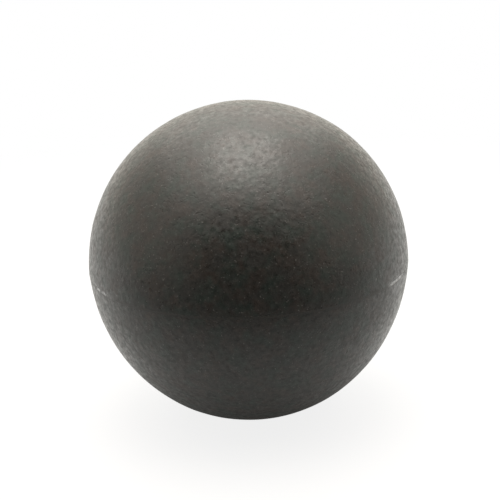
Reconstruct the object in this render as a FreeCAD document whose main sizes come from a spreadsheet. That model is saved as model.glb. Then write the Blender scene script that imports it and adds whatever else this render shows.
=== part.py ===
"""A hollow rubber friction ball, pressed and turned against a screwed watch case back to open it.

Two moulded rubber half shells meet rim to rim at the ball's equator, and a ring of rubber cement
holds them together. The air inside is sealed in, so the ball gives a little where a palm and a
case back press on it, and grips them. The upper half is a true half ball outside. The lower half
leans in from the joint and is a little longer, so the outline has a faint corner at the joint.

Millimetres, +Z up. The origin is the ball's centre, in the plane of the joint, and every piece is
turned about Z. The upper half shell is on the +Z side.
"""

import FreeCAD, Part
import math
import os
import Sketcher
from FreeCAD import Rotation, Vector

DRIVING_DIMENSIONS = {
    # alias: (millimetres, what it is)
    "upper_radius": (32.5, "outer radius of the upper half shell"),
    "edge_radius": (32.45, "how far out the lower half shell reaches at its bevel"),
    "shoulder_radius": (35.2, "flatter arc of the lower half's outside, next to the joint"),
    "cap_radius": (31.6, "rounder arc of the lower half's outside, round its pole"),
    "cap_depth": (1.1, "how far that arc's centre lies beyond the half's joint face"),
    "core_radius": (27.5, "radius of the round inside, which one core moulds in both halves"),
    "rim_radius": (26.8, "inner radius of the thickened rim at the joint"),
    "rim_blend": (2.5, "radius of the blend from the rim into the round inside"),
    "bevel": (0.15, "bevel round the outer edge of each joint face"),
    "film": (0.2, "thickness of the cement between the joint faces"),
    "bead_height": (1.6, "height of the bead of cement squeezed out inside the ball"),
    "bead_depth": (0.6, "how far that bead stands in from the rim"),
}
FULL_TURN = 360.0

# What sets each half's outside, as formulas of the sheet's cells.
OUTER_RADIUS = {"upper": "Dimensions.upper_radius", "lower": "Dimensions.cap_radius"}
CENTRE_HEIGHT = {
    "upper": "Dimensions.film / 2",
    "lower": "Dimensions.film / 2 + Dimensions.cap_depth",
}
TIP_OUT = {
    "upper": "sqrt(Dimensions.upper_radius^2 - Dimensions.bevel^2)",
    "lower": "Dimensions.edge_radius",
}
BEAD_CURVE = "(Dimensions.bead_depth^2 + (Dimensions.bead_height / 2)^2) / (2 * Dimensions.bead_depth)"

# A sketch's own origin and upright axis, and the points of a line or an arc, as the sketcher
# numbers them.
ORIGIN = (-1, 1)
UP_AXIS = -2
START, END, CENTRE = 1, 2, 3


def make_sheet(doc):
    """The spreadsheet of driving dimensions, one aliased cell to a row."""
    sheet = doc.addObject("Spreadsheet::Sheet", "Dimensions")
    for row, (alias, (millimetres, meaning)) in enumerate(DRIVING_DIMENSIONS.items(), start=1):
        sheet.set(f"A{row}", meaning)
        sheet.set(f"B{row}", str(millimetres))
        sheet.setAlias(f"B{row}", alias)
    doc.recompute()
    return sheet


def leg(longest, other):
    """The third side of a right-angled triangle."""
    return math.sqrt(longest**2 - other**2)


def bevel_tip(sheet, side):
    """Where a half shell's bevel meets its round outside."""
    out = sheet.edge_radius if side == "lower" else leg(sheet.upper_radius, sheet.bevel)
    return Vector(out, sheet.film / 2 + sheet.bevel, 0)


def arc_about(centre, first, last):
    """The arc from one point to the next, anticlockwise, about a centre."""
    circle = Part.Circle(centre, Vector(0, 0, 1), first.distanceToPoint(centre))
    return Part.ArcOfCircle(circle, circle.parameter(first), circle.parameter(last))


def shoulder_arc(sheet, tip, cap_centre):
    """The flatter arc from the bevel's tip to where it runs smoothly into the cap.

    The two arcs' centres and the place where they meet are on one line, so the triangle of tip,
    cap centre and shoulder centre has three known sides, and its angle at the cap centre says
    where that line points.
    """
    to_tip = tip - cap_centre
    apart = sheet.shoulder_radius - sheet.cap_radius
    past_tip = math.acos(
        (sheet.shoulder_radius**2 - to_tip.Length**2 - apart**2) / (2 * to_tip.Length * apart)
    )
    slope = math.atan2(to_tip.y, to_tip.x) + past_tip
    towards_meeting = Vector(math.cos(slope), math.sin(slope), 0)
    shoulder_centre = cap_centre - towards_meeting * apart
    meeting = cap_centre + towards_meeting * sheet.cap_radius
    return arc_about(shoulder_centre, tip, meeting), meeting


def start_profile(doc, label, edges):
    """A body with one sketch on its own XZ plane, and the sketch's edges numbered by name."""
    body = doc.addObject("PartDesign::Body", label)
    body.Label = label
    sketch = body.newObject("Sketcher::SketchObject", label + "_profile")
    plane = next(each for each in body.Origin.OriginFeatures if each.Role == "XZ_Plane")
    sketch.AttachmentSupport = [(plane, "")]
    sketch.MapMode = "FlatFace"
    sketch.addGeometry(list(edges.values()), False)
    numbers = {name: number for number, name in enumerate(edges)}
    return body, sketch, numbers


def rule(sketch, kind, *where):
    """Adds a constraint that has no size, such as Vertical or Coincident."""
    sketch.addConstraint(Sketcher.Constraint(kind, *where))


def dimension(sketch, name, formula, kind, *where):
    """Adds a dimension at the size it is drawn, and binds it to a formula of the sheet's cells."""
    if kind == "Radius":
        drawn = sketch.Geometry[where[0]].Radius
    else:
        step = sketch.getPoint(*where[2:]) - sketch.getPoint(*where[:2])
        drawn = step.x if kind == "DistanceX" else step.y
    index = sketch.addConstraint(Sketcher.Constraint(kind, *where, drawn))
    sketch.renameConstraint(index, name)
    sketch.setExpression(f"Constraints.{name}", formula)


def turn(doc, body, sketch):
    """Turns a closed profile once round the ball's axis, after seeing that nothing in it is loose."""
    doc.recompute()
    if not sketch.FullyConstrained:
        raise RuntimeError(f"{sketch.Label} isn't fully constrained")
    turned = body.newObject("PartDesign::Revolution", body.Name + "_turned")
    turned.Profile = sketch
    turned.ReferenceAxis = (sketch, ["V_Axis"])
    turned.Angle = FULL_TURN
    doc.recompute()
    return turned


def make_half_shell(doc, sheet, side):
    """One moulded cup, drawn above the joint plane: round outside and in, with a thickened rim,
    a flat joint face and a bevel round the face's outer edge. The lower one is then turned over."""
    face = sheet.film / 2
    core_centre = Vector(0, face, 0)
    tip = bevel_tip(sheet, side)
    bevel_foot = Vector(tip.x - sheet.bevel, face, 0)
    rim_foot = Vector(sheet.rim_radius, face, 0)
    rim_top = rim_foot + Vector(0, leg(sheet.core_radius, sheet.rim_radius), 0)
    core_pole = core_centre + Vector(0, sheet.core_radius, 0)

    if side == "lower":
        cap_centre, cap_radius = core_centre + Vector(0, sheet.cap_depth, 0), sheet.cap_radius
        shoulder, cap_foot = shoulder_arc(sheet, tip, cap_centre)
        edges = {"shoulder": shoulder}
    else:
        cap_centre, cap_radius = core_centre, sheet.upper_radius
        cap_foot = tip
        edges = {}
    pole = cap_centre + Vector(0, cap_radius, 0)
    edges.update(
        {
            "cap": arc_about(cap_centre, cap_foot, pole),
            "axis": Part.LineSegment(pole, core_pole),
            "inside": arc_about(core_centre, rim_top, core_pole),
            "rim_wall": Part.LineSegment(rim_top, rim_foot),
            "joint_face": Part.LineSegment(rim_foot, bevel_foot),
            "bevel": Part.LineSegment(bevel_foot, tip),
        }
    )
    first = next(iter(edges))
    body, sketch, edge = start_profile(doc, f"{side}_half_shell", edges)

    for one, one_point, other, other_point in [
        ("cap", END, "axis", START),
        ("axis", END, "inside", END),
        ("inside", START, "rim_wall", START),
        ("rim_wall", END, "joint_face", START),
        ("joint_face", END, "bevel", START),
        ("bevel", END, first, START),
    ]:
        rule(sketch, "Coincident", edge[one], one_point, edge[other], other_point)
    for name, point in [("axis", START), ("axis", END), ("cap", CENTRE), ("inside", CENTRE)]:
        rule(sketch, "PointOnObject", edge[name], point, UP_AXIS)
    rule(sketch, "Vertical", edge["rim_wall"])
    rule(sketch, "Horizontal", edge["joint_face"])

    face_start = edge["joint_face"], START
    bevel_ends = edge["bevel"], START, edge["bevel"], END
    for name, formula, kind, *where in [
        ("outer_radius", OUTER_RADIUS[side], "Radius", edge["cap"]),
        ("centre_height", CENTRE_HEIGHT[side], "DistanceY", *ORIGIN, edge["cap"], CENTRE),
        ("core_radius", "Dimensions.core_radius", "Radius", edge["inside"]),
        ("core_height", "Dimensions.film / 2", "DistanceY", *ORIGIN, edge["inside"], CENTRE),
        ("face_height", "Dimensions.film / 2", "DistanceY", *ORIGIN, *face_start),
        ("rim_radius", "Dimensions.rim_radius", "DistanceX", *ORIGIN, *face_start),
        ("bevel_height", "Dimensions.bevel", "DistanceY", *bevel_ends),
        ("bevel_width", "Dimensions.bevel", "DistanceX", *bevel_ends),
    ]:
        dimension(sketch, name, formula, kind, *where)
    if side == "lower":
        rule(sketch, "Tangent", edge["shoulder"], END, edge["cap"], START)
        dimension(
            sketch, "shoulder_radius", "Dimensions.shoulder_radius", "Radius", edge["shoulder"]
        )
        dimension(
            sketch, "tip_out", TIP_OUT[side], "DistanceX", *ORIGIN, edge["shoulder"], START
        )

    turned = turn(doc, body, sketch)
    blend_rim(doc, body, turned, rim_top)
    if side == "lower":
        body.Placement.Rotation = Rotation(Vector(1, 0, 0), FULL_TURN / 2)
    return body


def blend_rim(doc, body, turned, corner):
    """Rounds the inside corner, a circle, where the rim's wall meets the round inside."""
    close = 0.01
    on_the_corner = Part.Vertex(Vector(corner.x, 0, corner.y))
    names = [
        f"Edge{number}"
        for number, each in enumerate(turned.Shape.Edges, start=1)
        if not each.Degenerated
        and each.BoundBox.ZLength < close
        and each.distToShape(on_the_corner)[0] < close
    ]
    blend = body.newObject("PartDesign::Fillet", body.Name + "_rim_blend")
    blend.Base = (turned, names)
    blend.setExpression("Radius", "Dimensions.rim_blend")
    body.Tip = blend
    doc.recompute()


def make_seam_cement(doc, sheet):
    """The ring of cement: a film between the joint faces, the V between the two bevels filled
    flush, and the rounded bead that squeezes out along the inside of the rims."""
    rim, film_half, bead_half = sheet.rim_radius, sheet.film / 2, sheet.bead_height / 2
    tip = {side: bevel_tip(sheet, side) for side in ("lower", "upper")}
    # Once round the section from the foot of the bead: out along the lower side, up the outside
    # and back in along the upper side.
    corners = [
        Vector(rim, -bead_half, 0),
        Vector(rim, -film_half, 0),
        Vector(tip["lower"].x - sheet.bevel, -film_half, 0),
        Vector(tip["lower"].x, -tip["lower"].y, 0),
        tip["upper"],
        Vector(tip["upper"].x - sheet.bevel, film_half, 0),
        Vector(rim, film_half, 0),
        Vector(rim, bead_half, 0),
    ]
    names = [
        "lower_foot",
        "lower_face",
        "lower_bevel",
        "outside",
        "upper_bevel",
        "upper_face",
        "upper_foot",
    ]
    edges = {
        name: Part.LineSegment(one, other)
        for name, one, other in zip(names, corners, corners[1:])
    }
    edges["bead"] = Part.Arc(corners[-1], Vector(rim - sheet.bead_depth, 0, 0), corners[0])

    body, sketch, edge = start_profile(doc, "seam_cement", edges)
    for number, after in zip(range(len(edges)), [*range(1, len(edges)), 0]):
        rule(sketch, "Coincident", number, END, after, START)
    for side in ("lower", "upper"):
        rule(sketch, "Vertical", edge[f"{side}_foot"])
        rule(sketch, "Horizontal", edge[f"{side}_face"])

    dimension(sketch, "bead_curve", BEAD_CURVE, "Radius", edge["bead"])
    # On the lower side each edge is drawn from its inner end, and on the upper side to it.
    for side, inner, outer in [("lower", START, END), ("upper", END, START)]:
        foot_far, foot_near = (edge[f"{side}_foot"], inner), (edge[f"{side}_foot"], outer)
        bevel_foot, bevel_top = (edge[f"{side}_bevel"], inner), (edge[f"{side}_bevel"], outer)
        for name, formula, kind, one, other in [
            ("rim_radius", "Dimensions.rim_radius", "DistanceX", ORIGIN, foot_far),
            ("bead_half", "Dimensions.bead_height / 2", "DistanceY", ORIGIN, foot_far),
            ("film_half", "Dimensions.film / 2", "DistanceY", ORIGIN, foot_near),
            ("tip_out", TIP_OUT[side], "DistanceX", ORIGIN, bevel_top),
            ("bevel_width", "Dimensions.bevel", "DistanceX", bevel_foot, bevel_top),
            ("bevel_height", "Dimensions.bevel", "DistanceY", bevel_foot, bevel_top),
        ]:
            if side == "lower" and kind == "DistanceY":
                one, other = other, one
            dimension(sketch, f"{side}_{name}", formula, kind, *one, *other)

    turn(doc, body, sketch)
    return body


def check(doc, bodies):
    """Stops if an object failed or a piece isn't one valid solid, which a recompute doesn't do."""
    failed = [each.Label for each in doc.Objects if {"Invalid", "Error"} & set(each.State)]
    if failed:
        raise RuntimeError(f"these objects failed: {failed}")
    for body in bodies:
        shape = body.Shape
        if shape.isNull() or not shape.isValid() or len(shape.Solids) != 1:
            raise RuntimeError(f"{body.Label} isn't one valid solid")
        box = shape.BoundBox
        print(f"{body.Label}: {shape.Volume:.1f} mm3, from z {box.ZMin:.3f} to {box.ZMax:.3f}")


def main():
    doc = FreeCAD.newDocument("friction_ball")
    sheet = make_sheet(doc)
    bodies = [
        make_half_shell(doc, sheet, "upper"),
        make_half_shell(doc, sheet, "lower"),
        make_seam_cement(doc, sheet),
    ]
    doc.recompute()
    check(doc, bodies)
    os.makedirs("parts", exist_ok=True)
    for body in bodies:
        body.Shape.exportStep(os.path.join("parts", body.Label + ".step"))


main()
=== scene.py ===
import math

import bpy
import numpy as np
from mathutils import Matrix, Vector


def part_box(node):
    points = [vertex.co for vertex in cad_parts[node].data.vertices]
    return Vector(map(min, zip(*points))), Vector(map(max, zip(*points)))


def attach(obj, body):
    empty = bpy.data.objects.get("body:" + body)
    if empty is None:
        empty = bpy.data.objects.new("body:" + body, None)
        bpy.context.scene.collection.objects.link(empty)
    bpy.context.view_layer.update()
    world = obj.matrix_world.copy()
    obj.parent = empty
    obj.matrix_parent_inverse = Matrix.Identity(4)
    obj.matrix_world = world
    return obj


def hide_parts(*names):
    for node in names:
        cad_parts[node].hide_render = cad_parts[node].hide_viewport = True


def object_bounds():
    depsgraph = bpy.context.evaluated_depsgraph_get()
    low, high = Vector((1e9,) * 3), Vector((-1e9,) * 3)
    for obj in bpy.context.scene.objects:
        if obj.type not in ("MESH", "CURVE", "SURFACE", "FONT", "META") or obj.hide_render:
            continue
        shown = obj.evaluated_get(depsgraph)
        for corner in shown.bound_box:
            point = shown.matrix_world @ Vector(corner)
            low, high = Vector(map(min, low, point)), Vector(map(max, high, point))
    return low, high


# A hollow friction ball of black rubber: two moulded half shells and the cement between them.
# Lengths in the dictionaries are in millimetres unless a note says otherwise, and the meshes
# are in metres. Up is +Z, and the seam lies in the plane z = 0.

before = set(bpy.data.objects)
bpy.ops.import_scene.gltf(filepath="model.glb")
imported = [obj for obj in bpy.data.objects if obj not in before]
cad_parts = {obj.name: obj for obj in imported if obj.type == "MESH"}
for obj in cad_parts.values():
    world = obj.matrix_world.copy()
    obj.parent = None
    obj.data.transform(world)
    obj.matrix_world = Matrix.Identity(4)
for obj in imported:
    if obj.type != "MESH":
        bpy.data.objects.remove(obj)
cadLow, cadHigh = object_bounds()
mm = 0.001
fullTurn = 2 * math.pi
cornerShare = 0.03  # where the rows beside a sharp corner are, as a share of a straight side
leastRadius = 0.001  # keeps a point on the axis from being divided by nothing
white = (1, 1, 1, 1)

# Every uneven surface is a sum of waves. Their lengths are these shares of the wanted size, and
# the sum, over the square root of their number, is cut off at this height.
waveMix = {"count": 40, "lengths": (0.75, 1.4), "cutOff": 2}


# Shapes shared by both half shells. The outer sizes are read from the frame's own nodes.
shellShape = {
    "coreRadius": 27.5,  # the round inside
    "rimRadius": 26.8,  # the straight wall at the joint
    "rimBlend": 2.5,
    "bevel": 0.15,
    "shoulderRadius": 35.2,  # lower half only: the flatter arc next to the seam
    "capRadius": 31.6,  # lower half only: the rounder arc round the pole
    "stepsRound": 600,
    "stepsOutside": 130,
    "seamRows": 0.15,  # how close the grid's rows are at the seam, against an even spacing
    "rowCrowding": 1.7,
    "tipRow": 0.0002,  # the last row's distance from the bevel, as a share of the outside
    "bevelSteps": 3,
    "faceSteps": 5,
    "rimSteps": 4,
    "blendSteps": 4,
    "coreSteps": 12,
}

# How the moulded and buffed outside differs from the drawing, always inwards: layers of waves,
# from the slow hollows of the buffing wheel to the slight orange peel of the mould.
relief = {
    "layers": [(17.0, 0.12), (6.5, 0.045), (2.6, 0.018)],  # (size, depth)
    "seeds": {"upper": 11, "lower": 23},  # of the first layer, and one more for each after it
    "calmNearSeam": (0.8, 3.0),  # how much it slackens at the seam, and how far from it
}


# The seam was trimmed and buffed by hand, so it all but vanishes in places and opens in others.
# Each open stretch is (degrees round from the front, half its length in degrees, depth, ragged).
seamWear = {
    "closedDepth": 0.004,
    "upperWidth": 0.30,  # how far up the upper half's dip reaches
    "lowerWidth": 0.12,
    "lowerShare": 0.25,  # the lower half sinks only this much, so its edge is a small ledge
    "reach": (30.0, 32.0),  # no point nearer the axis moves, and all further out move fully
    "stretches": [
        (60.0, 7.5, 0.20, 0.4),
        (-60.0, 9.0, 0.115, 1.0),
        (128.0, 17.0, 0.07, 0.5),
        (-146.0, 12.0, 0.09, 0.6),
        (176.0, 7.0, 0.05, 0.4),
    ],
    "humpPower": 0.8,  # under 1 the ends are steep
    "ringRadius": 32.5,
    "raggedSize": 1.3,
    "raggedSeed": 5,
    "leastOpen": 0.1,  # the ragged wave leaves at least this share of the depth
    "fullyWorn": 0.14,  # an opening this deep shows bare cement
    "fullyScuffed": 0.20,  # and one this deep has the rubber fully scuffed
    "scuffWidth": 2.2,  # how much the scuffed band below the seam widens, from no wear to full
    "leastScuffWidth": 0.1,  # its width with no wear, as a share of that
    "scuffRise": 0.12,  # how far above the bevel the rubber is scuffed
    "raggedScuff": 0.2,  # how much of the seam's raggedness the scuffed rubber follows
}


def legOf(longest, other):
    # A right-angled triangle's third side, from its longest and one other: the square root of
    # the difference of their squares.
    return math.sqrt(longest**2 - other**2)


def evenly(count):
    # Even shares of a length, without the 0 it starts at.
    return np.linspace(0, 1, count + 1)[1:]


def planeWaves(points, size, seed):
    # The sum of many sine waves through space, of random direction and phase, with wavelengths
    # near size, over the square root of their number, cut off and brought to -1 to 1.
    draw = np.random.default_rng(seed)
    count, cutOff = waveMix["count"], waveMix["cutOff"]
    directions = draw.normal(size=(count, 3))
    directions /= np.linalg.norm(directions, axis=1)[:, None]
    lengths = size * draw.uniform(*waveMix["lengths"], count)
    phases = draw.uniform(0, fullTurn, count)
    total = np.zeros(points.shape[:-1])
    for direction, length, phase in zip(directions, lengths, phases):
        total += np.sin(points @ (direction * fullTurn / length) + phase)
    return np.clip(total / math.sqrt(count), -cutOff, cutOff) / cutOff


def arc(centreOut, centreUp, radius, start, end, shares):
    # Points of a circle: its centre, plus radius times the cosine and sine of an angle that goes
    # from start to end by the given shares.
    angles = start + (end - start) * shares
    return np.stack([centreOut + radius * np.cos(angles), centreUp + radius * np.sin(angles)], -1)


def straight(first, last, count):
    # Points of a straight line, without its first one. A point right beside each end keeps the
    # shading of a sharp corner to the corner.
    shares = np.concatenate([[cornerShare], evenly(count)[:-1], [1 - cornerShare, 1]])[:, None]
    return np.array(first) + (np.array(last) - np.array(first)) * shares


def outsideOf(side, radius, pole, face):
    # The section's outer line from the pole to the bevel's tip. The upper half is one arc about
    # the middle of its joint face. The lower half is a cap arc, and a flatter shoulder arc that
    # meets it smoothly: the two centres and the meeting place are in one line.
    fromSeam = np.linspace(1, 0, shellShape["stepsOutside"])
    even = shellShape["seamRows"]
    shares = 1 - even * fromSeam - (1 - even) * fromSeam ** shellShape["rowCrowding"]
    # one more row right beside the tip keeps the shading of the bevel off the outside
    shares = np.insert(shares, -1, 1 - shellShape["tipRow"])
    tipUp = face + shellShape["bevel"]
    if side == "upper":
        tipAngle = math.asin(shellShape["bevel"] / radius)
        return arc(0, face, pole - face, math.pi / 2, tipAngle, shares)
    cap, shoulder = shellShape["capRadius"], shellShape["shoulderRadius"]
    capUp = pole - cap
    toTip = math.hypot(radius, tipUp - capUp)
    apart = shoulder - cap
    pastTip = math.acos((shoulder**2 - toTip**2 - apart**2) / (2 * toTip * apart))
    meeting = math.atan2(tipUp - capUp, radius) + pastTip
    shoulderOut, shoulderUp = -apart * math.cos(meeting), capUp - apart * math.sin(meeting)
    tipAngle = math.atan2(tipUp - shoulderUp, radius - shoulderOut)
    split = np.searchsorted(shares, (math.pi / 2 - meeting) / (math.pi / 2 - tipAngle))
    capShares = shares[: split + 1] / shares[split]
    onShares = (shares[split + 1 :] - shares[split]) / (1 - shares[split])
    return np.concatenate(
        [
            arc(0, capUp, cap, math.pi / 2, meeting, capShares),
            arc(shoulderOut, shoulderUp, shoulder, meeting, tipAngle, onShares),
        ]
    )


def insideOf(tip, face):
    # The rest of the section: in along the bevel and the joint face, up the rim's straight wall,
    # round its blend, and over the round inside to the axis. The blend's centre is where a
    # circle of its radius touches both the wall and the round inside.
    core, rim, blend = shellShape["coreRadius"], shellShape["rimRadius"], shellShape["rimBlend"]
    bevelFoot = (tip[0] - shellShape["bevel"], face)
    blendOut, blendUp = rim - blend, face + legOf(core - blend, rim - blend)
    blendEnd = math.atan2(blendUp - face, blendOut)
    return np.concatenate(
        [
            straight(tip, bevelFoot, shellShape["bevelSteps"]),
            straight(bevelFoot, (rim, face), shellShape["faceSteps"]),
            straight((rim, face), (rim, blendUp), shellShape["rimSteps"]),
            arc(blendOut, blendUp, blend, 0, blendEnd, evenly(shellShape["blendSteps"])),
            arc(0, face, core, blendEnd, math.pi / 2, evenly(shellShape["coreSteps"])),
        ]
    )


def seamOpening(turnAngle, raggedShare=1.0):
    # How deep the seam is at each angle round the ball: a hair everywhere, plus for each
    # stretch its depth times a smooth hump, 1 at its middle and 0 at its ends, times 1 plus a
    # share of a ragged wave.
    depth = np.full_like(turnAngle, seamWear["closedDepth"])
    ring = np.stack([np.cos(turnAngle), np.sin(turnAngle), 0 * turnAngle], -1)
    ring *= seamWear["ringRadius"]
    ragged = planeWaves(ring, seamWear["raggedSize"], seamWear["raggedSeed"])
    for middle, half, deep, roughness in seamWear["stretches"]:
        # degrees round from the front are counted from -Y towards +X
        away = turnAngle - math.radians(middle) + math.pi / 2
        away = np.abs((away + math.pi) % fullTurn - math.pi)
        hump = np.clip(1 - (away / math.radians(half)) ** 2, 0, 1) ** seamWear["humpPower"]
        uneven = np.maximum(1 + raggedShare * roughness * ragged, seamWear["leastOpen"])
        depth += deep * hump * uneven
    return depth


def openSeam(rows, section, turnAngle, tipUp):
    # Draws a grid in towards the axis at the seam: by the opening at each angle, times a bell
    # curve of the height past the bevel's tip, times 0 at the joint's inner part. It is less by
    # a fixed share on the lower half, and goes evenly from one share to the other between them.
    nearest, furthest = seamWear["reach"]
    up = section[:, 1]
    share = np.exp(-((np.maximum(up - tipUp, 0) / seamWear["upperWidth"]) ** 2))
    share *= np.exp(-((np.maximum(-up - tipUp, 0) / seamWear["lowerWidth"]) ** 2))
    low = seamWear["lowerShare"]
    share *= low + (1 - low) * np.clip((up / tipUp + 1) / 2, 0, 1)
    share *= np.clip((section[:, 0] - nearest) / (furthest - nearest), 0, 1)
    out = np.maximum(section[:, 0], leastRadius)
    sunk = share[:, None] * seamOpening(turnAngle)[None, :] / out[:, None]
    rows[..., :2] *= (1 - sunk)[..., None]


def scuffing(section, turnAngle, tipUp, raggedShare, fullDepth):
    # How worn each point is, from 0 to 1: the square of what the seam opens past the hair that
    # it has everywhere, over that of a fully worn stretch. It fades out below the seam, over a
    # distance that grows with it, and almost at once above the seam.
    opened = seamOpening(turnAngle, raggedShare) - seamWear["closedDepth"]
    worn = np.clip(opened / fullDepth, 0, 1) ** 2
    up = section[:, 1, None]
    reach = seamWear["scuffWidth"] * (worn + seamWear["leastScuffWidth"])
    below = np.exp(-((np.minimum(up + tipUp, 0) / reach) ** 2))
    above = np.clip(1 - (up - tipUp) / seamWear["scuffRise"], 0, 1)
    return below * above * worn


def wallMesh(name, rows, worn, closedRing):
    # A grid of rows by steps round, joined into quads. Rows that aren't a closed ring end in a
    # single point at each pole, joined by triangles. The wear is kept with the points.
    rowCount, around = rows.shape[:2]
    here = np.arange(around)
    after = (here + 1) % around
    faces = []
    if closedRing:
        points = rows.reshape(-1, 3)
        wear = worn.ravel()
        starts = np.arange(rowCount) * around
        nexts = np.roll(starts, -1)
    else:
        poles = rows[[0, -1]].mean(1)
        points = np.concatenate([rows[1:-1].reshape(-1, 3), poles])
        wear = np.concatenate([worn[1:-1].ravel(), [0, 0]])
        starts = np.arange(rowCount - 3) * around
        nexts = starts + around
        firstPole, lastPole = len(points) - 2, len(points) - 1
        lastRow = (rowCount - 3) * around
        faces += np.stack([np.full(around, firstPole), here, after], -1).tolist()
        faces += np.stack([np.full(around, lastPole), lastRow + after, lastRow + here], -1).tolist()
    quads = np.stack(
        [
            starts[:, None] + here,
            nexts[:, None] + here,
            nexts[:, None] + after,
            starts[:, None] + after,
        ],
        -1,
    )
    faces += quads.reshape(-1, 4).tolist()
    mesh = bpy.data.meshes.new(name)
    mesh.from_pydata((points * mm).tolist(), [], faces)
    mesh.shade_smooth()
    mesh.attributes.new("scuffed", "FLOAT", "POINT").data.foreach_set("value", wear)
    piece = bpy.data.objects.new(name, mesh)
    bpy.context.scene.collection.objects.link(piece)
    print(f"{name}: {len(mesh.polygons)} faces")
    return piece


def turned(section, turnAngle):
    # Every point of a section, (out, up), carried round the axis: out times the cosine and the
    # sine of each angle, and up as it is.
    out, up = section[:, None, 0], section[:, None, 1]
    return np.stack([out * np.cos(turnAngle), out * np.sin(turnAngle), up + 0 * turnAngle], -1)


def halfShell(name, node, side):
    # A closed cup: the section (outside, bevel, joint face, rim, inside) turned round the axis.
    # The relief then moves the outside towards the middle of the ball, and the seam's wear
    # moves the edge of the joint towards the axis.
    low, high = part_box(node)
    sign = 1 if side == "upper" else -1
    radius = max(high.x, high.y) / mm
    pole, face = sorted((abs(low.z) / mm, abs(high.z) / mm), reverse=True)
    outside = outsideOf(side, radius, pole, face)
    section = np.concatenate([outside, insideOf(outside[-1], face)])
    around = shellShape["stepsRound"]
    turnAngle = np.arange(around) / around * fullTurn
    rows = turned(section, turnAngle)
    outer = rows[: len(outside)]
    length = np.linalg.norm(outer, axis=-1)
    sunk = np.zeros_like(length)
    for layer, (size, depth) in enumerate(relief["layers"]):
        sunk += depth * (1 + planeWaves(outer, size, relief["seeds"][side] + layer)) / 2
    # it slackens towards the seam, so that both halves still meet there
    calm, reach = relief["calmNearSeam"]
    sunk *= 1 - calm * np.exp(-((outer[..., 2] / reach) ** 2))
    rows[: len(outside)] *= (1 - sunk / length)[..., None]
    signed = section * (1, sign)
    tipUp, raggedShare = outside[-1][1], seamWear["raggedScuff"]
    openSeam(rows, signed, turnAngle, tipUp)
    worn = scuffing(signed, turnAngle, tipUp, raggedShare, seamWear["fullyScuffed"])
    # the lower half is made like an upper one, then mirrored, and reversed round the axis so
    # that its faces still point outwards
    rows[..., 2] *= sign
    if sign < 0:
        rows, worn = rows[:, ::-1], worn[:, ::-1]
    piece = wallMesh(name, rows, worn, False)
    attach(piece, "root")
    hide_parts(node)
    return piece


# The ring of cement.
cementRing = {
    "film": 0.1,  # half its thickness between the joint faces
    "beadHalf": 0.8,
    "beadDepth": 0.6,
    "beadWobble": 0.12,
    "wobbleSize": 3.0,
    "wobbleSeed": 31,
    "filmStart": 0.01,  # nothing nearer the rim than this wobbles
    "sunkBelowEdge": 0.006,
    "hollow": 0.35,  # how much deeper its middle is than its edges, where the seam is open
    "stepsRound": 600,
    "beadSteps": 14,
    "cornerSteps": 2,  # on each short side between the film and the outside or the bead
    "filmSteps": 4,
    "outerSteps": 8,
}


def cementSection(upperTip, lowerTip):
    # Once round the section: up the squeezed-out bead, which is an arc through three known
    # points, out along the upper side, down the outside, and back in along the lower side.
    rim, bevel = shellShape["rimRadius"], shellShape["bevel"]
    film, half, depth = cementRing["film"], cementRing["beadHalf"], cementRing["beadDepth"]
    sink = cementRing["sunkBelowEdge"]
    beadRadius = (depth**2 + half**2) / (2 * depth)
    lean = math.asin(half / beadRadius)
    shares = np.linspace(0, 1, cementRing["beadSteps"])
    bead = arc(rim - depth + beadRadius, 0, beadRadius, math.pi + lean, math.pi - lean, shares)
    upperFoot, lowerFoot = (upperTip - bevel, film), (lowerTip - bevel, -film)
    upperEdge = (upperTip - sink, film + bevel - sink)
    lowerEdge = (lowerTip - sink, -film - bevel + sink)
    corner, along = cementRing["cornerSteps"], cementRing["filmSteps"]
    return np.concatenate(
        [
            bead,
            straight(bead[-1], (rim, film), corner),
            straight((rim, film), upperFoot, along),
            straight(upperFoot, upperEdge, corner),
            straight(upperEdge, lowerEdge, cementRing["outerSteps"]),
            straight(lowerEdge, lowerFoot, corner),
            straight(lowerFoot, (rim, -film), along),
            straight((rim, -film), bead[0], corner)[:-1],
        ]
    )


def seamCement():
    # A closed ring: the section turned round the axis. Its outside is drawn in with the seam,
    # more in its middle, and its bead is pushed in and out by a wave.
    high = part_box("seam_cement")[1]
    upperTip = max(high.x, high.y) / mm
    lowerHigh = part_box("lower_half_shell")[1]
    lowerTip = max(lowerHigh.x, lowerHigh.y) / mm
    edgeUp = cementRing["film"] + shellShape["bevel"]
    section = cementSection(upperTip, lowerTip)
    around = cementRing["stepsRound"]
    turnAngle = np.arange(around) / around * fullTurn
    rows = turned(section, turnAngle)
    openSeam(rows, section, turnAngle, edgeUp)
    outer = section[:, 0] > lowerTip - shellShape["bevel"] / 2
    middle = outer * (1 - (section[:, 1] / edgeUp) ** 2) * cementRing["hollow"]
    inner = section[:, 0] < shellShape["rimRadius"] - cementRing["filmStart"]
    wobble = planeWaves(rows, cementRing["wobbleSize"], cementRing["wobbleSeed"])
    moved = cementRing["beadWobble"] * wobble * inner[:, None]
    moved -= middle[:, None] * seamOpening(turnAngle)[None, :]
    rows[..., :2] *= (1 + moved / section[:, :1])[..., None]
    worn = scuffing(section, turnAngle, edgeUp, 1.0, seamWear["fullyWorn"]) * outer[:, None]
    piece = wallMesh("seamCement", rows, worn, True)
    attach(piece, "root")
    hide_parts("seam_cement")
    return piece


def node(tree, kind, inputs=None, **settings):
    # One shader node, with its settings, and its inputs as numbers or as links.
    made = tree.nodes.new(kind)
    for key, value in settings.items():
        setattr(made, key, value)
    for key, value in (inputs or {}).items():
        if isinstance(value, bpy.types.NodeSocket):
            tree.links.new(value, made.inputs[key])
        else:
            made.inputs[key].default_value = value
    return made


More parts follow.
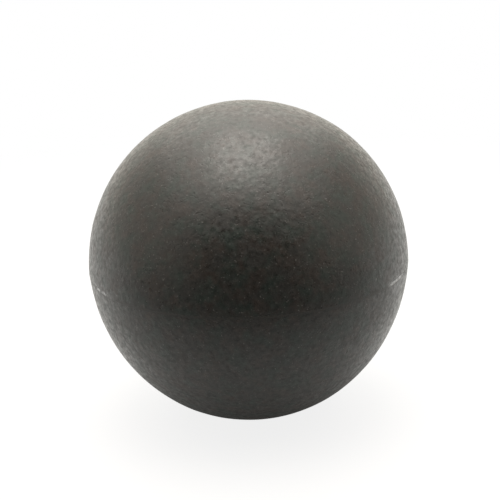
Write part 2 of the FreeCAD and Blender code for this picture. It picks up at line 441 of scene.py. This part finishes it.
def emptyMaterial(name):
    # A material without a node, and its node tree.
    material = bpy.data.materials.new(name)
    material.use_nodes = True
    material.node_tree.nodes.clear()
    return material, material.node_tree


# What both finishes share. A noise is given as (size, detail, roughness, how many metres along
# X it is moved, so that no two are alike), and patches as the two values of a noise between
# which a thing fades in.
usualNoise = (0.3, 0.7)  # a noise mostly keeps between these
noiseMiddle = 0.5
refraction = 1.5


rubberFinish = {
    "black": (0.0215, 0.0207, 0.0192, 1),
    "brown": (0.0262, 0.0208, 0.0178, 1),
    "brownNoise": (3.2, 3.0, 0.6, 0.6),
    "brownPatches": (0.42, 0.62),
    "green": (0.0174, 0.0234, 0.0200, 1),
    "greenNoise": (3.2, 3.0, 0.6, 0.9),
    "greenPatches": (0.45, 0.65),
    "toneNoise": (1.0, 4.0, 0.66, 0.2),  # light and dark grain
    "upperTone": (0.68, 1.37),  # darkest and lightest
    "lowerTone": (0.42, 1.78),
    "dust": (0.11, 0.108, 0.103, 1),
    "dustNoise": (0.42, 2.0, 0.6, 0.3),
    "dustPatches": (0.64, 0.76),
    "poreSpacing": 1.5,
    "poreWidth": (0.06, 0.16),  # as shares of the spacing
    "poreDepth": 0.02,
    # painted shade: the share of the colour that is left in a pore
    "poreShade": 0.45,
    "grainNoise": (1.0, 2.0, 0.45, 0.0),
    "grainHeight": 0.06,
    "creaseNoise": (2.4, 2.0, 0.5, 1.5),
    "creaseHalfWidth": 0.035,  # as a share of the noise's range
    "creaseAreas": (2.4, 1.0, 0.5, 1.8),  # the noise that says where there are any
    "creasePatches": (0.45, 0.60),
    "creaseDepth": 0.014,
    # painted shade: the share of the colour that is left in a hairline
    "creaseShade": 0.8,
    "glossNoise": (0.9, 3.0, 0.6, 1.2),
    "roughness": (0.25, 0.54),
    "scuff": (0.125, 0.128, 0.134, 1),
    "scuffNoise": (0.9, 3.0, 0.6, 0.0),
    "scuffPatches": (0.36, 0.62),
    "lowerShift": 1.7,  # metres that the lower half's noises are moved, against the upper's
}


def perMetre(size):
    # How many features of a size in millimetres there are in a metre.
    return 1 / (size * mm)


def noiseOf(tree, place, noise, shift=0.0):
    # Fractal noise of features of one size and smaller, between 0 and 1.
    size, detail, roughness, own = noise
    if own + shift:
        moved = {"Vector": place, "Location": (own + shift, 0, 0)}
        place = node(tree, "ShaderNodeMapping", moved).outputs["Vector"]
    inputs = {"Vector": place, "Scale": perMetre(size), "Detail": detail, "Roughness": roughness}
    return node(tree, "ShaderNodeTexNoise", inputs).outputs["Fac"]


def stretched(tree, value, limits, onto=(0.0, 1.0), kind="LINEAR"):
    # A value between two limits, stretched to between two others, and held at the ends.
    inputs = {
        "Value": value,
        "From Min": limits[0],
        "From Max": limits[1],
        "To Min": onto[0],
        "To Max": onto[1],
    }
    made = node(tree, "ShaderNodeMapRange", inputs, interpolation_type=kind)
    return made.outputs["Result"]


def blended(tree, share, first, second):
    # The first colour, plus a share of the way to the second. Sockets 6 and 7 take colours.
    inputs = {"Factor": share, 6: first, 7: second}
    return node(tree, "ShaderNodeMix", inputs, data_type="RGBA").outputs[2]


def bumped(tree, height, distance, below=None):
    # The way the surface faces, tilted by the slope of a height, which is a share of a distance.
    inputs = {"Height": height, "Strength": 1.0, "Distance": distance * mm}
    if below is not None:
        inputs["Normal"] = below
    return node(tree, "ShaderNodeBump", inputs).outputs["Normal"]


def scaled(tree, colour, factor):
    # A colour times a number.
    inputs = {0: colour, "Scale": factor}
    return node(tree, "ShaderNodeVectorMath", inputs, operation="SCALE").outputs["Vector"]


def worked(tree, operation, *values):
    # A sum on one or two numbers, called by its name.
    return node(tree, "ShaderNodeMath", dict(enumerate(values)), operation=operation).outputs[0]


def scuffedShare(tree, place, finish):
    # The wear kept with the points, times patches of a noise.
    wear = node(tree, "ShaderNodeAttribute", attribute_name="scuffed").outputs["Fac"]
    patches = stretched(tree, noiseOf(tree, place, finish["scuffNoise"]), finish["scuffPatches"])
    return worked(tree, "MULTIPLY", wear, patches)


def creases(tree, place, finish, shift):
    # Short curved hairlines, 0 in a line and 1 outside it: where one noise is near its middle
    # value, as long as another noise is high.
    across = noiseOf(tree, place, finish["creaseNoise"], shift)
    areas = noiseOf(tree, place, finish["creaseAreas"], shift)
    away = worked(tree, "ABSOLUTE", worked(tree, "SUBTRACT", across, noiseMiddle))
    line = stretched(tree, away, (0.0, finish["creaseHalfWidth"]), (1.0, 0.0))
    patches = stretched(tree, areas, finish["creasePatches"])
    return worked(tree, "SUBTRACT", 1.0, worked(tree, "MULTIPLY", line, patches))


def pores(tree, place, finish):
    # Pin-sized pores, 0 in a pore and 1 outside it, by the distance from scattered points.
    inputs = {"Vector": place, "Scale": perMetre(finish["poreSpacing"]), "Randomness": 1.0}
    away = node(tree, "ShaderNodeTexVoronoi", inputs).outputs["Distance"]
    return stretched(tree, away, finish["poreWidth"])


def surface(tree, inputs):
    # The end of a material: its shader, with numbers that hold all over on its own sockets.
    shader = node(tree, "ShaderNodeBsdfPrincipled", {**inputs, "IOR": refraction})
    node(tree, "ShaderNodeOutputMaterial", {"Surface": shader.outputs["BSDF"]})


def buffedRubber(name, shift, toneRange):
    # Matt black rubber. Its colour is black with a faint brown and green mottling, times a
    # light and dark grain of many sizes, with painted shade darkening it in pores and hairlines,
    # and specks of dust and scuffs laid over it. Its gloss is uneven, and it has a shallow bump
    # of grain, pores and hairlines.
    finish = rubberFinish
    material, tree = emptyMaterial(name)
    place = node(tree, "ShaderNodeTexCoord").outputs["Object"]
    kinds = ("brown", "green", "tone", "dust", "grain", "gloss")
    noises = {kind: noiseOf(tree, place, finish[kind + "Noise"], shift) for kind in kinds}
    pore = pores(tree, place, finish)
    crease = creases(tree, place, finish, shift)
    brown = stretched(tree, noises["brown"], finish["brownPatches"])
    green = stretched(tree, noises["green"], finish["greenPatches"])
    dust = stretched(tree, noises["dust"], finish["dustPatches"])
    tone = stretched(tree, noises["tone"], usualNoise, toneRange)
    colour = blended(tree, brown, finish["black"], finish["brown"])
    colour = blended(tree, green, colour, finish["green"])
    colour = scaled(tree, colour, tone)
    # painted shade: the colour is darker in the pores and in the hairlines
    colour = scaled(tree, colour, stretched(tree, pore, (0.0, 1.0), (finish["poreShade"], 1.0)))
    colour = scaled(tree, colour, stretched(tree, crease, (0.0, 1.0), (finish["creaseShade"], 1.0)))
    colour = blended(tree, dust, colour, finish["dust"])
    colour = blended(tree, scuffedShare(tree, place, finish), colour, finish["scuff"])
    normal = bumped(tree, noises["grain"], finish["grainHeight"])
    normal = bumped(tree, pore, finish["poreDepth"], normal)
    normal = bumped(tree, crease, finish["creaseDepth"], normal)
    rough = stretched(tree, noises["gloss"], usualNoise, finish["roughness"])
    surface(tree, {"Base Color": colour, "Roughness": rough, "Normal": normal})
    return material


cementFinish = {
    "black": (0.016, 0.0155, 0.014, 1),
    "brown": (0.026, 0.022, 0.017, 1),
    "brownPatches": (0.4, 0.7),
    "grainNoise": (1.0, 4.0, 0.6, 0.0),
    "grainHeight": 0.03,
    "roughness": (0.36, 0.54),
    "scuff": (0.23, 0.236, 0.248, 1),
    "scuffNoise": (0.7, 3.0, 0.6, 0.0),
    "scuffPatches": (0.25, 0.55),
    "skinRoughness": 0.25,
}


def curedCement(name):
    # Cured rubber cement, trimmed flush. One grain takes its colour from black to brown, its
    # gloss from shiny to dull, and its bump. Where it is worn it is bare and grey, and has a
    # skin that shines at a low angle.
    finish = cementFinish
    material, tree = emptyMaterial(name)
    place = node(tree, "ShaderNodeTexCoord").outputs["Object"]
    grain = noiseOf(tree, place, finish["grainNoise"])
    brown = stretched(tree, grain, finish["brownPatches"])
    bare = scuffedShare(tree, place, finish)
    colour = blended(tree, brown, finish["black"], finish["brown"])
    inputs = {
        "Base Color": blended(tree, bare, colour, finish["scuff"]),
        "Roughness": stretched(tree, grain, usualNoise, finish["roughness"]),
        "Normal": bumped(tree, grain, finish["grainHeight"]),
        "Coat Weight": bare,
        "Coat Roughness": finish["skinRoughness"],
    }
    surface(tree, inputs)
    return material


viewing = {
    "elevation": 18.3,  # degrees above the seam
    "distance": 6.0,  # ball radii
    "roll": -2.4,  # degrees
    "share": 0.6395,  # of the picture's width that the ball fills
    "across": 0.4971,  # where its middle is, from the left
    "down": 0.5188,  # and from the top
    "sensor": 36.0,  # the sensor's width
    "sees": (0.01, 50),  # metres, from the nearest to the furthest
}


studio = {
    "floorHalf": 6.0,  # metres, as are the other lengths here
    "paperColour": (0.80, 0.80, 0.80, 1),
    "paperLift": 0.84,  # how far the camera sees the paper lifted to white at the ball
    "paperWhiteFrom": (0.08, 0.30),  # and how far from the ball it gets all white
    "bounceColour": (1, 0.985, 0.94, 1),
    "bounce": (0.08, 1.36),  # the paper's own glow, as the ball sees it, in front and behind
    "bounceFades": (-0.145, 0.05),  # how far in front of and behind the ball it fades between
    "contactShade": (0.0115, 0.0475),  # how far round the ball's foot its shade reaches
    "shadeLeaves": 0.1,  # the share of the paper's glow that is left at the foot
    "skySize": (0.88, 1.15),
    "skyPlace": (0, 0.22, 0.5),
    "skyGlow": 1.68,  # watts per square metre and steradian, as are the other glows
    "keySize": (0.29, 0.38),
    "keyPlace": (0, 0.022, 0.48),  # below the sky, because panels in one plane hide each other
    "keyGlow": 4.6,
    "lampColour": (1, 0.95, 0.885),
    # the room round the ball: how much it glows, from behind the camera to behind the ball
    "roomStops": [(0.065, 0.02), (0.25, 0.54), (0.60, 0.46), (0.80, 0.74), (1.0, 1.0)],
    "roomGlow": 1.80,
    "roomColour": (1, 0.95, 0.85, 1),
}


def fromFoot(tree):
    # The distance along the floor from the place where the ball rests.
    place = node(tree, "ShaderNodeTexCoord").outputs["Object"]
    flat = node(tree, "ShaderNodeVectorMath", {0: place, 1: (1, 1, 0)}, operation="MULTIPLY")
    length = node(tree, "ShaderNodeVectorMath", {0: flat.outputs["Vector"]}, operation="LENGTH")
    return length.outputs["Value"]


def glowing(tree, colour, strength):
    # A surface that gives out its own light.
    made = node(tree, "ShaderNodeEmission", {"Color": colour, "Strength": strength})
    return made.outputs["Emission"]


def asSeen(tree, lighting, seen):
    # One shader for the light that falls on the ball, and another for what the camera sees.
    isSeen = node(tree, "ShaderNodeLightPath").outputs["Is Camera Ray"]
    return node(tree, "ShaderNodeMixShader", {0: isSeen, 1: lighting, 2: seen}).outputs["Shader"]


def bouncedLight(tree):
    # What the ball sees of the paper: bright behind it, fading out in front of it, and shaded
    # round its foot.
    place = node(tree, "ShaderNodeTexCoord").outputs["Object"]
    along = node(tree, "ShaderNodeSeparateXYZ", {"Vector": place}).outputs["Y"]
    lit = stretched(tree, along, studio["bounceFades"], studio["bounce"], "SMOOTHSTEP")
    shade = (studio["shadeLeaves"], 1.0)
    unshaded = stretched(tree, fromFoot(tree), studio["contactShade"], shade, "SMOOTHSTEP")
    return glowing(tree, studio["bounceColour"], worked(tree, "MULTIPLY", lit, unshaded))


def makeFloor():
    # A flat sheet of paper at the ball's lowest point. The camera sees it lifted towards white,
    # as an exposure for a black ball shows it, with the ball's soft shadow.
    half = studio["floorHalf"]
    corners = [(-half, -half), (half, -half), (half, half), (-half, half)]
    points = [(across, along, cadLow.z) for across, along in corners]
    mesh = bpy.data.meshes.new("floor")
    mesh.from_pydata(points, [], [(0, 1, 2, 3)])
    floor = bpy.data.objects.new("floor", mesh)
    bpy.context.scene.collection.objects.link(floor)
    material, tree = emptyMaterial("whitePaper")
    paper = node(tree, "ShaderNodeBsdfDiffuse", {"Color": studio["paperColour"]}).outputs["BSDF"]
    liftRange = (studio["paperLift"], 1.0)
    lift = stretched(tree, fromFoot(tree), studio["paperWhiteFrom"], liftRange, "SMOOTHSTEP")
    mixed = {0: lift, 1: paper, 2: glowing(tree, white, 1.0)}
    lifted = node(tree, "ShaderNodeMixShader", mixed).outputs["Shader"]
    both = asSeen(tree, bouncedLight(tree), lifted)
    node(tree, "ShaderNodeOutputMaterial", {"Surface": both})
    mesh.materials.append(material)
    return floor


def makeWorld():
    # A pale room round and behind the ball, and a dark one behind the camera: its glow goes by
    # the cosine of the angle from the way the camera looks.
    world = bpy.data.worlds.new("studio")
    bpy.context.scene.world = world
    world.use_nodes = True
    tree = world.node_tree
    tree.nodes.clear()
    elevation = math.radians(viewing["elevation"])
    behind = (0, math.cos(elevation), -math.sin(elevation))
    direction = node(tree, "ShaderNodeTexCoord").outputs["Generated"]
    turn = node(tree, "ShaderNodeVectorMath", {0: direction, 1: behind}, operation="DOT_PRODUCT")
    share = stretched(tree, turn.outputs["Value"], (-1.0, 1.0))
    ramp = node(tree, "ShaderNodeValToRGB", {"Fac": share})
    stops = ramp.color_ramp.elements
    while len(stops) < len(studio["roomStops"]):
        stops.new(0.5)  # it gets its own place below
    for stop, (position, glow) in zip(stops, studio["roomStops"]):
        stop.position, stop.color = position, (glow, glow, glow, 1)
    strength = worked(tree, "MULTIPLY", ramp.outputs["Color"], studio["roomGlow"])
    room = {"Color": studio["roomColour"], "Strength": strength}
    light = node(tree, "ShaderNodeBackground", room).outputs["Background"]
    plain = {"Color": white, "Strength": 1.0}
    seen = node(tree, "ShaderNodeBackground", plain).outputs["Background"]
    node(tree, "ShaderNodeOutputWorld", {"Surface": asSeen(tree, light, seen)})


def panelLight(name, place, size, glow):
    # A flat panel facing straight down. Its watts are its glow times pi times its area.
    light = bpy.data.lights.new(name, "AREA")
    light.shape = "RECTANGLE"
    light.size, light.size_y = size
    light.energy = glow * math.pi * size[0] * size[1]
    light.color = studio["lampColour"]
    lamp = bpy.data.objects.new(name, light)
    bpy.context.scene.collection.objects.link(lamp)
    lamp.location = place
    lamp.visible_camera = False


def makeCamera():
    # The lens is worked out from how much of the picture the ball's outline fills: a ball of
    # radius r at a distance of k radii has an outline of slope 1 / sqrt(k^2 - 1).
    radius = (cadHigh.x - cadLow.x) / 2
    ratio, sensor = viewing["distance"], viewing["sensor"]
    distance = radius * ratio
    slope = 1 / math.sqrt(ratio**2 - 1)
    lens = viewing["share"] / 2 * sensor / slope
    elevation = math.radians(viewing["elevation"])
    back = Vector((0, -math.cos(elevation), math.sin(elevation)))
    turn = (-back).to_track_quat("-Z", "Y").to_matrix()
    roll = Matrix.Rotation(math.radians(viewing["roll"]), 3, "Z")
    # turn the camera a little off the ball, so that the ball isn't in the exact middle
    aside = (1 / 2 - viewing["across"]) * sensor / lens
    above = (viewing["down"] - 1 / 2) * sensor / lens
    aim = Matrix.Rotation(-aside, 3, "Y") @ Matrix.Rotation(above, 3, "X")
    data = bpy.data.cameras.new("camera")
    data.lens, data.sensor_width = lens, sensor
    data.clip_start, data.clip_end = viewing["sees"]
    camera = bpy.data.objects.new("camera", data)
    bpy.context.scene.collection.objects.link(camera)
    camera.matrix_world = Matrix.Translation(back * distance) @ (turn @ roll @ aim).to_4x4()
    bpy.context.scene.camera = camera
    print(f"camera: {lens:.1f} mm lens, {distance / mm:.0f} mm from the ball's centre")


def paint(piece, material):
    # Gives a piece its finish.
    piece.data.materials.append(material)


makeCamera()
makeWorld()
panelLight("skyPanel", studio["skyPlace"], studio["skySize"], studio["skyGlow"])
panelLight("keyPanel", studio["keyPlace"], studio["keySize"], studio["keyGlow"])
makeFloor()
print("studio ready")

upper = halfShell("upperHalfShell", "upper_half_shell", "upper")
lower = halfShell("lowerHalfShell", "lower_half_shell", "lower")
cement = seamCement()
paint(upper, buffedRubber("upperRubber", 0.0, rubberFinish["upperTone"]))
paint(lower, buffedRubber("lowerRubber", rubberFinish["lowerShift"], rubberFinish["lowerTone"]))
paint(cement, curedCement("curedCement"))
print("rubber and cement finished")
bpy.context.scene.view_settings.view_transform = "Standard"

bpy.context.view_layer.update()
